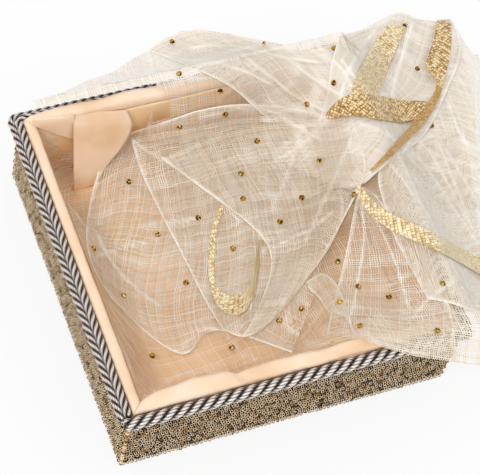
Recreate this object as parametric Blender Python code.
"""A square hamper tray: board walls wrapped in beaded cloth, a satin lining with a padded rim,
a twisted cord round the top edge, and a loose net cover with bands of gold lace.

Metres, +Z up. The origin is the middle of the underside. +X runs along the front wall to the
right, and +Y runs from the front wall to the back wall.
"""

import math

import bmesh
import bpy
from mathutils import Matrix, Vector
from mathutils.bvhtree import BVHTree

MM = 0.001

# The tray as a whole.
SIDE = 254 * MM
RIM_TOP = 77.6 * MM
FIT_GAP = 0.3 * MM

# Boards and papers.
BASE_PAPER_THICK = 0.8 * MM
BASE_PAPER_INSET = 4 * MM
BASE_BOARD_THICK = 4 * MM
WALL_THICK = 5 * MM
LINING_THICK = 2 * MM
LINING_EDGE_ROUND = 0.6 * MM

# Beaded cloth round the outside.
COVER_THICK = 1.6 * MM
COVER_CORNER_ROUND = 2 * MM
CORNER_BEAD_RADIUS = 1.3 * MM
CORNER_BEAD_NECK = 0.6 * MM
CORNER_BEAD_PITCH = 3.1 * MM
CORNER_BEAD_STEPS = 4
CORNER_BEAD_SIDES = 8

# Cords round the top edge: a thick one along the front, and two thin ones, side by side, along
# the left, back and right.
CORD_DIAMETER = 9.5 * MM
THIN_CORD_DIAMETER = 5.7 * MM
THIN_CORD_DROP = 3.9 * MM
THIN_CORD_BEND_RADIUS = 5 * MM
THIN_CORD_BELOW_RIM = 1.2 * MM
CORD_SIDES = 12
CORD_BEND_STEPS = 6

# Padded satin rim and floor.
RIM_WIDTH = 6.9 * MM
RIM_HEIGHT = 7.4 * MM
RIM_ROUND_STEPS = 8
PAD_THICK = 4 * MM
PAD_CROWN = 2.2 * MM
PAD_EDGE_ROUND = 1.5 * MM
PAD_CELLS = 12

# Loose satin flap in the back left corner.
FLAP_THICK = 0.9 * MM
FLAP_TOP_WIDTH = 46 * MM
FLAP_FOOT_WIDTH = 36 * MM
FLAP_FROM_CORNER = 28 * MM
FLAP_FOOT_OUT = 20 * MM
FLAP_DROP_BELOW_RIM = 8 * MM
FLAP_BELLY = 2.4 * MM
FLAP_CELLS = 10

# Net cover.
NET_THICK = 0.8 * MM
NET_REST_GAP = 0.6 * MM
NET_INNER_FALL = 42 * MM
NET_OUTER_FALL = 58 * MM
NET_RIGHT_REACH = 138 * MM
NET_FRONT_RIGHT_REACH = 30 * MM
NET_BACK_REACH = 84 * MM
NET_FRONT_REACH = 12 * MM
NET_EDGE_CLEAR = 3 * MM
NET_LIP_DROP = 9 * MM
NET_BACK_SKEW = 26 * MM
NET_LOOK_FROM = 300 * MM
NET_RIPPLE_HEIGHT = 9 * MM
NET_RIPPLE_LENGTH = 88 * MM
NET_TENT_EASE = 34 * MM
NET_TENT_SAG = 16 * MM
NET_FLOOR_CELLS = 7

# Where the net starts and ends its step over the front rim, from the middle to the right, and
# the line past which it spans the front right corner like a tent, as shares of the tray's side.
NET_OVER_FRONT_SHARES = (0.22, 0.44)
NET_TENT_LINE_SHARES = (0.12, -0.46, 0.42, 0.08)

# How far the net reaches past the back rim, as shares of its greatest reach there, at places from
# left to right given as shares of the tray's side.
NET_BACK_REACH_SHARES = (
    (-0.45, 0.42),
    (-0.29, 0.65),
    (-0.12, 0.74),
    (0.12, 1.00),
    (0.21, 0.98),
    (0.35, 0.78),
    (0.54, 0.55),
    (0.83, 0.57),
    (0.93, 0.64),
    (1.09, 0.36),
)

# Folds of the net. Each is a ridge from one place to another, as shares of the tray's side from
# its middle, with its height and half width as shares of the tray's depth.
NET_FOLD_SHARES = (
    (0.43, 0.12, 0.18, -0.14, 0.34, 0.26),
    (0.18, -0.14, -0.05, -0.25, 0.30, 0.24),
    (-0.38, 0.00, -0.24, -0.22, 0.14, 0.22),
    (-0.24, -0.22, 0.04, -0.27, 0.17, 0.22),
    (-0.11, 0.42, -0.10, -0.16, 0.10, 0.24),
    (-0.02, 0.36, 0.16, 0.05, 0.14, 0.24),
    (0.16, 0.66, 0.34, 0.34, 0.22, 0.30),
    (0.34, 0.34, 0.20, 0.20, 0.30, 0.30),
    (0.44, 0.36, 0.78, 0.54, 0.46, 0.42),
    (0.46, 0.10, 0.96, 0.30, 0.34, 0.34),
    (0.50, -0.16, 0.80, -0.04, 0.20, 0.26),
    (-0.20, 0.56, -0.10, 0.80, 0.14, 0.26),
)

# Lace on the net.
LACE_WIDTH = 16 * MM
LACE_THICK = 0.9 * MM
LACE_SEAT_GAP = 0.7 * MM
LACE_STEP = 5 * MM
LACE_LOOK_SHARE = 0.7

# Middle lines of the lace bands, as shares of the tray's side from its middle.
LACE_PATH_SHARES = {
    "lace_band_upper": ((0.76, 0.58), (0.62, 0.47), (0.50, 0.38), (0.53, 0.32), (0.60, 0.30)),
    "lace_band_back": ((0.90, 0.50), (0.84, 0.40), (0.74, 0.28), (0.60, 0.18), (0.46, 0.12)),
    "lace_band_right": ((0.43, 0.06), (0.46, -0.02), (0.54, -0.05), (0.64, -0.04), (0.76, -0.04)),
    "lace_band_loop": (
        (0.04, 0.18),
        (-0.03, 0.09),
        (-0.08, -0.03),
        (-0.08, -0.12),
        (0.00, -0.14),
        (0.05, -0.04),
        (0.09, 0.04),
    ),
}

# Places that follow from the sizes above.
HALF = SIDE / 2
BOARD_HALF = HALF - COVER_THICK - FIT_GAP
WALL_INNER = BOARD_HALF - WALL_THICK
LINING_OUTER = WALL_INNER - FIT_GAP
LINING_INNER = LINING_OUTER - LINING_THICK
BASE_BOARD_LOW = BASE_PAPER_THICK + FIT_GAP
BASE_BOARD_HIGH = BASE_BOARD_LOW + BASE_BOARD_THICK
WALL_LOW = BASE_BOARD_HIGH + FIT_GAP
WALL_HIGH = RIM_TOP - RIM_HEIGHT - FIT_GAP
PAD_LOW = BASE_BOARD_HIGH + FIT_GAP
PAD_HIGH = PAD_LOW + PAD_THICK
PAD_HALF = LINING_INNER - FIT_GAP
CORD_RADIUS = CORD_DIAMETER / 2
CORD_HALF = BOARD_HALF + FIT_GAP + CORD_RADIUS
CORD_OUTER = CORD_HALF + CORD_RADIUS
THIN_RADIUS = THIN_CORD_DIAMETER / 2
THIN_INNER_HALF = BOARD_HALF + FIT_GAP + THIN_RADIUS
THIN_STEP_OUT = math.sqrt((THIN_CORD_DIAMETER + FIT_GAP) ** 2 - THIN_CORD_DROP**2)
THIN_OUTER_HALF = THIN_INNER_HALF + THIN_STEP_OUT
THIN_INNER_Z = RIM_TOP - THIN_CORD_BELOW_RIM - THIN_RADIUS
THIN_OUTER_Z = THIN_INNER_Z - THIN_CORD_DROP
CORD_Z = RIM_TOP - CORD_RADIUS - (RIM_HEIGHT - CORD_RADIUS) / 2
COVER_HIGH = CORD_Z - CORD_RADIUS - FIT_GAP
RIM_OUTER = LINING_INNER + RIM_WIDTH
NET_TOP = RIM_TOP + NET_REST_GAP
NET_FLOOR = PAD_HIGH + PAD_CROWN + NET_REST_GAP
NET_DEPTH = NET_TOP - NET_FLOOR
NET_RIM_INNER = HALF - LINING_INNER + NET_EDGE_CLEAR
NET_RIM_OUTER = max(CORD_OUTER, THIN_OUTER_HALF + THIN_RADIUS) + NET_EDGE_CLEAR - HALF

# Finishes: colour, roughness and metallic value.
FINISHES = {
    "board": ((0.52, 0.42, 0.30), 0.85, 0.0),
    "base_paper": ((0.70, 0.62, 0.48), 0.8, 0.0),
    "beaded_cloth": ((0.47, 0.37, 0.22), 0.35, 0.7),
    "silver_cord": ((0.36, 0.33, 0.33), 0.35, 0.2),
    "satin": ((0.90, 0.68, 0.48), 0.38, 0.0),
    "net": ((0.88, 0.80, 0.66), 0.7, 0.0),
    "gold_lace": ((0.80, 0.58, 0.22), 0.35, 0.7),
}


def clear_scene():
    """Takes out whatever the file was opened with."""
    for old in list(bpy.data.objects):
        bpy.data.objects.remove(old)


def finish(name):
    """One material for each finish, made when it is first asked for."""
    if name in bpy.data.materials:
        return bpy.data.materials[name]
    colour, roughness, metallic = FINISHES[name]
    material = bpy.data.materials.new(name)
    material.use_nodes = True
    shader = material.node_tree.nodes["Principled BSDF"]
    shader.inputs["Base Color"].default_value = (*colour, 1.0)
    shader.inputs["Roughness"].default_value = roughness
    shader.inputs["Metallic"].default_value = metallic
    return material


def add_object(name, mesh, finish_name, smooth_angle=None):
    """Links a mesh as one named sub-part."""
    mesh.materials.append(finish(finish_name))
    if smooth_angle is not None:
        mesh.shade_smooth()
        mesh.set_sharp_from_angle(angle=smooth_angle)
    piece = bpy.data.objects.new(name, mesh)
    bpy.context.scene.collection.objects.link(piece)
    return piece


def mesh_from_bmesh(name, bm):
    """Points the faces outward and writes the bmesh to a new mesh."""
    bmesh.ops.recalc_face_normals(bm, faces=bm.faces)
    mesh = bpy.data.meshes.new(name)
    bm.to_mesh(mesh)
    bm.free()
    return mesh


def add_block(name, low, high, finish_name, edge_round=0.0):
    """A board, card or paper between two corners, with its edges eased if asked."""
    bm = bmesh.new()
    bmesh.ops.create_cube(bm, size=1.0)
    for vert in bm.verts:
        vert.co = Vector(
            tuple(high[k] if vert.co[k] > 0 else low[k] for k in range(3))
        )
    if edge_round:
        bmesh.ops.bevel(
            bm, geom=list(bm.edges), offset=edge_round, segments=2, affect="EDGES", profile=0.5
        )
    return add_object(name, mesh_from_bmesh(name, bm), finish_name)


def rounded_square(half, corner_round, steps):
    """Points round a square with round corners, anticlockwise from the right side."""
    points = []
    middle = half - corner_round
    for quarter in range(4):
        turn = quarter * math.pi / 2
        centre = Vector((middle, middle)) @ rotation_2d(turn)
        for step in range(steps + 1):
            angle = turn + step * math.pi / 2 / steps
            points.append(centre + corner_round * Vector((math.cos(angle), math.sin(angle))))
    return points


def rotation_2d(turn):
    """A matrix that turns a row vector anticlockwise."""
    return Matrix(((math.cos(turn), math.sin(turn)), (-math.sin(turn), math.cos(turn))))


def closed_strip(name, rings, finish_name, smooth_angle=None, caps=False):
    """Joins rings of points, each a closed loop of the same length, into one closed solid."""
    bm = bmesh.new()
    made = [[bm.verts.new(point) for point in ring] for ring in rings]
    count = len(made[0])
    pairs = list(zip(made, made[1:]))
    if not caps:
        pairs.append((made[-1], made[0]))
    for ring, following in pairs:
        for k in range(count):
            nearby = (k + 1) % count
            bm.faces.new((ring[k], ring[nearby], following[nearby], following[k]))
    if caps:
        bm.faces.new(made[0])
        bm.faces.new(reversed(made[-1]))
    return add_object(name, mesh_from_bmesh(name, bm), finish_name, smooth_angle)


def base():
    """The paper under the tray and the board it is stuck to."""
    paper_half = HALF - BASE_PAPER_INSET
    add_block(
        "base_paper",
        (-paper_half, -paper_half, 0.0),
        (paper_half, paper_half, BASE_PAPER_THICK),
        "base_paper",
    )
    add_block(
        "base_board",
        (-BOARD_HALF, -BOARD_HALF, BASE_BOARD_LOW),
        (BOARD_HALF, BOARD_HALF, BASE_BOARD_HIGH),
        "board",
    )


def side_panels(stem, outer, inner, low, high, finish_name, edge_round=0.0):
    """Four upright panels: front and back at full width, left and right between them."""
    between = inner - FIT_GAP
    add_block(f"{stem}_front", (-outer, -outer, low), (outer, -inner, high), finish_name, edge_round)
    add_block(f"{stem}_back", (-outer, inner, low), (outer, outer, high), finish_name, edge_round)
    add_block(f"{stem}_left", (-outer, -between, low), (-inner, between, high), finish_name, edge_round)
    add_block(f"{stem}_right", (inner, -between, low), (outer, between, high), finish_name, edge_round)


def beaded_cover():
    """The beaded cloth, a band stuck round the four walls."""
    steps = 4
    outside = rounded_square(HALF, COVER_CORNER_ROUND, steps)
    inside = rounded_square(HALF - COVER_THICK, COVER_CORNER_ROUND - COVER_THICK, steps)
    rings = []
    for ring, low_or_high in (
        (outside, FIT_GAP),
        (outside, COVER_HIGH),
        (inside, COVER_HIGH),
        (inside, FIT_GAP),
    ):
        rings.append([Vector((p.x, p.y, low_or_high)) for p in ring])
    closed_strip("beaded_cover", rings, "beaded_cloth", math.radians(40))


def corner_bead_row():
    """The row of larger beads on the cloth's corner seam, threaded one on top of the other."""
    spot = -(HALF - COVER_CORNER_ROUND)
    spot -= (COVER_CORNER_ROUND + FIT_GAP + CORNER_BEAD_RADIUS) / math.sqrt(2)
    count = int((COVER_HIGH - FIT_GAP) / CORNER_BEAD_PITCH)
    rings = []
    for k in range(count * CORNER_BEAD_STEPS + 1):
        share = k / CORNER_BEAD_STEPS
        swell = math.sin(math.pi * (share % 1.0))
        radius = CORNER_BEAD_NECK + (CORNER_BEAD_RADIUS - CORNER_BEAD_NECK) * swell
        height = FIT_GAP + share * CORNER_BEAD_PITCH
        rings.append(
            [
                Vector((spot + radius * math.cos(angle), spot + radius * math.sin(angle), height))
                for angle in (math.tau * side / CORNER_BEAD_SIDES for side in range(CORNER_BEAD_SIDES))
            ]
        )
    closed_strip("corner_bead_row", rings, "beaded_cloth", math.radians(80), caps=True)


def corded_tube(name, path, radius, height):
    """A cord along a level path, with flat ends."""
    rings = []
    last = len(path) - 1
    for k, point in enumerate(path):
        along = (path[min(k + 1, last)] - path[max(k - 1, 0)]).normalized()
        outward = Vector((along.y, -along.x))
        ring = []
        for side in range(CORD_SIDES):
            angle = 2 * math.pi * side / CORD_SIDES
            off = point + outward * radius * math.cos(angle)
            ring.append(Vector((off.x, off.y, height + radius * math.sin(angle))))
        rings.append(ring)
    closed_strip(name, rings, "silver_cord", math.radians(50), caps=True)


def cords():
    """The thick cord along the front and the pair of thin cords round the other three sides."""
    ends = [Vector((end * CORD_OUTER, -CORD_HALF)) for end in (-1, 1)]
    corded_tube("cord_front", ends, CORD_RADIUS, CORD_Z)
    front_end = Vector((0.0, -(CORD_HALF - CORD_RADIUS - FIT_GAP)))
    for name, half, height in (
        ("cord_inner", THIN_INNER_HALF, THIN_INNER_Z),
        ("cord_outer", THIN_OUTER_HALF, THIN_OUTER_Z),
    ):
        corners = rounded_square(half, THIN_CORD_BEND_RADIUS, CORD_BEND_STEPS)
        upper = [point for point in corners if point.y > 0]
        path = [Vector((half, front_end.y))] + upper + [Vector((-half, front_end.y))]
        corded_tube(name, path, THIN_RADIUS, height)


def rim_profile():
    """The rim's section: distance from the tray's middle and height, rounded on top."""
    low = WALL_HIGH + FIT_GAP
    radius = RIM_WIDTH / 2
    middle = LINING_INNER + radius
    points = [(RIM_OUTER, low), (LINING_INNER, low)]
    spring = RIM_TOP - radius
    for step in range(RIM_ROUND_STEPS + 1):
        angle = math.pi - step * math.pi / RIM_ROUND_STEPS
        points.append((middle + radius * math.cos(angle), spring + radius * math.sin(angle)))
    return points


def rim():
    """Four padded satin rolls on top of the walls, mitred at the corners."""
    mitre_gap = FIT_GAP / 2
    for quarter, place in enumerate(("front", "right", "back", "left")):
        turn = quarter * math.pi / 2
        rings = []
        for end in (-1, 1):
            ring = []
            for reach, height in rim_profile():
                flat = Vector((end * (reach - mitre_gap), -reach)) @ rotation_2d(turn)
                ring.append(Vector((flat.x, flat.y, height)))
            rings.append(ring)
        closed_strip(f"rim_roll_{place}", rings, "satin", math.radians(40), caps=True)


def floor_pad():
    """The padded satin floor, a little higher in the middle."""
    bm = bmesh.new()
    bmesh.ops.create_grid(bm, x_segments=PAD_CELLS, y_segments=PAD_CELLS, size=PAD_HALF)
    top = list(bm.faces)
    for vert in bm.verts:
        across = 1 - (vert.co.x / PAD_HALF) ** 2
        along = 1 - (vert.co.y / PAD_HALF) ** 2
        inward = max(across * along, 0.0) ** 0.3
        vert.co.z = PAD_HIGH - PAD_EDGE_ROUND + (PAD_CROWN + PAD_EDGE_ROUND) * inward
    made = bmesh.ops.extrude_face_region(bm, geom=top)
    for vert in (item for item in made["geom"] if isinstance(item, bmesh.types.BMVert)):
        vert.co.z = PAD_LOW
    add_object("floor_pad", mesh_from_bmesh("floor_pad", bm), "satin", math.radians(40))


def thicken(bm, thick, name, finish_name, plumb=False):
    """Turns an open sheet that looks up into a closed solid below it, square to it or plumb."""
    bmesh.ops.recalc_face_normals(bm, faces=bm.faces)
    if sum(face.normal.z for face in bm.faces) < 0:
        bmesh.ops.reverse_faces(bm, faces=bm.faces)
    bm.normal_update()
    straight_up = Vector((0.0, 0.0, 1.0))
    offsets = {vert: (straight_up if plumb else vert.normal) * thick for vert in bm.verts}
    upper = list(bm.faces)
    under = {vert: bm.verts.new(vert.co - offsets[vert]) for vert in list(bm.verts)}
    edges = [edge for edge in bm.edges if edge.is_boundary]
    for face in upper:
        bm.faces.new([under[vert] for vert in reversed(face.verts)])
    for edge in edges:
        first, second = edge.verts
        bm.faces.new((first, second, under[second], under[first]))
    return add_object(name, mesh_from_bmesh(name, bm), finish_name, math.radians(60))


def satin_flap():
    """A loose tongue of the satin that hangs from the back rim and leans out onto the floor."""
    bm = bmesh.new()
    high = WALL_HIGH - FLAP_DROP_BELOW_RIM
    low = PAD_HIGH + PAD_CROWN + FLAP_THICK + FIT_GAP
    left = -LINING_INNER + FLAP_FROM_CORNER
    wall_face = LINING_INNER - FIT_GAP - FLAP_THICK
    rows = []
    for j in range(FLAP_CELLS + 1):
        drop = j / FLAP_CELLS
        width = FLAP_TOP_WIDTH + (FLAP_FOOT_WIDTH - FLAP_TOP_WIDTH) * drop
        row = []
        for i in range(FLAP_CELLS + 1):
            across = i / FLAP_CELLS
            belly = FLAP_BELLY * math.sin(math.pi * drop) * math.sin(math.pi * across)
            out = FLAP_FOOT_OUT * drop ** 1.2 + belly
            height = high + (low - high) * drop
            row.append(bm.verts.new((left + width * across, wall_face - out, height)))
        rows.append(row)
    for upper, lower in zip(rows, rows[1:]):
        for i in range(FLAP_CELLS):
            bm.faces.new((upper[i], lower[i], lower[i + 1], upper[i + 1]))
    thicken(bm, FLAP_THICK, "satin_flap", "satin")


def fall(share):
    """A hanging cloth's drop, from 1 at its support to 0 where it has landed."""
    share = min(max(share, 0.0), 1.0)
    return (1 - share) ** 2


def ridge(x, y, fold):
    """The height that one fold adds at a place."""
    start = Vector(fold[0:2]) * SIDE
    end = Vector(fold[2:4]) * SIDE
    height, half_width = fold[4] * NET_DEPTH, fold[5] * NET_DEPTH
    along = end - start
    share = min(max((Vector((x, y)) - start).dot(along) / along.length_squared, 0.0), 1.0)
    away = (Vector((x, y)) - start - along * share).length
    taper = math.sin(math.pi * (0.15 + 0.7 * share))
    return height * taper * math.exp(-((away / half_width) ** 2))


def ease(share):
    """Goes smoothly from 0 to 1."""
    share = min(max(share, 0.0), 1.0)
    return share * share * (3 - 2 * share)


def tent(x, y):
    """How far a place is under the taut part of the net in the front right corner, 0 to 1."""
    start = Vector(NET_TENT_LINE_SHARES[0:2]) * SIDE
    along = (Vector(NET_TENT_LINE_SHARES[2:4]) * SIDE - start).normalized()
    past = (Vector((x, y)) - start).dot(Vector((along.y, -along.x)))
    return ease((past + NET_TENT_EASE) / NET_TENT_EASE)


def net_height(x, y):
    """How high the net's upper face lies: over the rim and cord, and falling inside and out."""
    past_x, past_y = abs(x) - HALF, abs(y) - HALF
    outside = math.hypot(max(past_x, 0.0), max(past_y, 0.0)) + min(max(past_x, past_y), 0.0)
    top = NET_TOP + NET_THICK
    landed = NET_THICK + NET_REST_GAP
    if outside > 0:
        share = (outside - NET_RIM_OUTER) / NET_OUTER_FALL
        settled = min(max(share, 0.0), 1.0)
        wave = math.sin((x - y) * math.tau / NET_RIPPLE_LENGTH)
        height = landed + (top - landed) * fall(share)
        height += NET_RIPPLE_HEIGHT * (0.5 + 0.5 * wave) * settled
    else:
        share = (-outside - NET_RIM_INNER) / NET_INNER_FALL
        settled = min(max(share, 0.0), 1.0)
        low = NET_FLOOR + NET_THICK
        taut = tent(x, y)
        height = low + (top - low) * fall(share)
        height += taut * (top - NET_TENT_SAG * ease(share) - height)
        settled *= 1 - taut
    return height + settled * sum(ridge(x, y, fold) for fold in NET_FOLD_SHARES)


def back_reach(x):
    """How far the net reaches past the back rim at a place across."""
    place = x / SIDE
    shares = NET_BACK_REACH_SHARES
    for (first, low), (second, high) in zip(shares, shares[1:]):
        if place < second:
            along = max((place - first) / (second - first), 0.0)
            return NET_BACK_REACH * (low + (high - low) * along)
    return NET_BACK_REACH * shares[-1][1]


def net_lines(reach):
    """Lines from where the net has landed in the tray to its outer edge, by the far wall."""
    inner = LINING_INNER - NET_EDGE_CLEAR
    flat = inner - NET_INNER_FALL
    rim_edge = HALF + NET_RIM_OUTER
    lines = [-flat + 2 * flat * k / NET_FLOOR_CELLS for k in range(NET_FLOOR_CELLS + 1)]
    lines += [flat + (inner - flat) * share for share in (0.36, 0.66, 1.0)]
    lines += [inner + (rim_edge - inner) * share for share in (0.4, 0.75, 1.0)]
    lines += [rim_edge + reach * share for share in (0.12, 0.3, 0.52, 0.76, 1.0)]
    return lines


def net_grid():
    """Rows of points of the net's upper face, from the front row to the back row."""
    inner = LINING_INNER - NET_EDGE_CLEAR
    fall_step = NET_INNER_FALL
    rim_edge = HALF + NET_RIM_OUTER
    near = [inner - fall_step * share for share in (0.0, 0.34, 0.66)]
    columns = [-line for line in near] + net_lines(NET_RIGHT_REACH)
    over = [rim_edge + NET_FRONT_REACH, rim_edge, (inner + rim_edge) / 2, inner]
    lip = [inner - fall_step * share for share in (0.0, 0.08, 0.16, 0.25)]
    front = [(-a, -b) for a, b in zip(over, lip)] + [(-line, -line) for line in near[1:]]
    rows = front + [(line, line) for line in net_lines(NET_BACK_REACH)]
    first, last = NET_OVER_FRONT_SHARES
    steps = [ease((column_x / SIDE - first) / (last - first)) for column_x in columns]
    grid = []
    for over_y, lip_y in rows:
        back_share = max(lip_y - rim_edge, 0.0) / NET_BACK_REACH
        points = []
        for k, (column_x, stepped) in enumerate(zip(columns, steps)):
            y = lip_y + (over_y - lip_y) * stepped
            if back_share > 0:
                y = rim_edge + back_reach(column_x) * back_share
            x = column_x + NET_BACK_SKEW * back_share * max(0.0, 0.5 - column_x / SIDE)
            if column_x > rim_edge:
                back_ward = min(max(0.5 + y / SIDE, 0.0), 1.0)
                reach = NET_FRONT_RIGHT_REACH
                reach += (NET_RIGHT_REACH - NET_FRONT_RIGHT_REACH) * back_ward
                x = rim_edge + (column_x - rim_edge) * reach / NET_RIGHT_REACH
            height = net_height(x, y)
            on_front_lip = lip_y == -inner and max(steps[: k + 2]) == 0
            on_left_lip = column_x == -inner and lip_y < inner
            if on_front_lip or on_left_lip:
                height = min(height, RIM_TOP - NET_LIP_DROP)
            points.append(Vector((x, y, height)))
        grid.append(points)
    return grid


def cell_faces(grid, j, i):
    """The two triangles of one cell, split along its shorter diagonal."""
    a, b, c, d = (j, i), (j, i + 1), (j + 1, i + 1), (j + 1, i)
    one_way = grid[a[0]][a[1]] - grid[c[0]][c[1]]
    other_way = grid[b[0]][b[1]] - grid[d[0]][d[1]]
    if one_way.length <= other_way.length:
        return (a, b, c), (a, c, d)
    return (a, b, d), (b, c, d)


def net_cover():
    """The net as one thin draped sheet with its main folds."""
    grid = net_grid()
    bm = bmesh.new()
    verts = [[bm.verts.new(point) for point in row] for row in grid]
    for j in range(len(grid) - 1):
        for i in range(len(grid[0]) - 1):
            for face in cell_faces(grid, j, i):
                bm.faces.new([verts[row][column] for row, column in face])
    thicken(bm, NET_THICK, "net_cover", "net")
    return grid


def smooth_path(points, step):
    """Points about a step apart on a smooth curve through the given ones."""
    padded = [points[0] * 2 - points[1]] + points + [points[-1] * 2 - points[-2]]
    placed = []
    for before, first, second, after in zip(padded, padded[1:], padded[2:], padded[3:]):
        count = max(2, round((second - first).length / step))
        for k in range(count):
            t = k / count
            placed.append(
                0.5
                * (
                    2 * first
                    + (second - before) * t
                    + (2 * before - 5 * first + 4 * second - after) * t * t
                    + (3 * first - before - 3 * second + after) * t * t * t
                )
            )
    placed.append(points[-1])
    return placed


def highest(tree, x, y, reach):
    """The net's highest point close to a place, so that what lies there clears every crease."""
    found = []
    for share_x in (-1.0, -0.5, 0.0, 0.5, 1.0):
        for share_y in (-1.0, -0.5, 0.0, 0.5, 1.0):
            above = Vector((x + share_x * reach, y + share_y * reach, NET_LOOK_FROM))
            hit = tree.ray_cast(above, Vector((0.0, 0.0, -1.0)))
            if hit[0] is not None:
                found.append(hit[0].z)
    return max(found)


def lace(tree):
    """The gold lace bands, each one strip that lies on the net."""
    for name, shares in LACE_PATH_SHARES.items():
        middle = smooth_path([Vector(share) * SIDE for share in shares], LACE_STEP)
        bm = bmesh.new()
        rows = []
        for k, point in enumerate(middle):
            along = (middle[min(k + 1, len(middle) - 1)] - middle[max(k - 1, 0)]).normalized()
            across = Vector((-along.y, along.x))
            row = []
            for share in (-0.5, -0.25, 0.0, 0.25, 0.5):
                spot = point + across * LACE_WIDTH * share
                seat = highest(tree, spot.x, spot.y, LACE_STEP * LACE_LOOK_SHARE)
                row.append(bm.verts.new((spot.x, spot.y, seat + LACE_SEAT_GAP + LACE_THICK)))
            rows.append(row)
        for row, following in zip(rows, rows[1:]):
            for k in range(len(row) - 1):
                bm.faces.new((row[k], row[k + 1], following[k + 1], following[k]))
        thicken(bm, LACE_THICK, name, "gold_lace", plumb=True)


def net_tree(grid):
    """The net's upper face, for finding what lies on it."""
    width = len(grid[0])
    points = [point for row in grid for point in row]
    faces = []
    for j in range(len(grid) - 1):
        for i in range(width - 1):
            for face in cell_faces(grid, j, i):
                faces.append([row * width + column for row, column in face])
    return BVHTree.FromPolygons(points, faces)


def main():
    """Builds the whole tray."""
    clear_scene()
    base()
    side_panels("wall", BOARD_HALF, WALL_INNER, WALL_LOW, WALL_HIGH, "board")
    side_panels(
        "lining", LINING_OUTER, LINING_INNER, WALL_LOW, WALL_HIGH, "satin", LINING_EDGE_ROUND
    )
    beaded_cover()
    corner_bead_row()
    cords()
    rim()
    floor_pad()
    satin_flap()
    grid = net_cover()
    tree = net_tree(grid)
    lace(tree)


main()
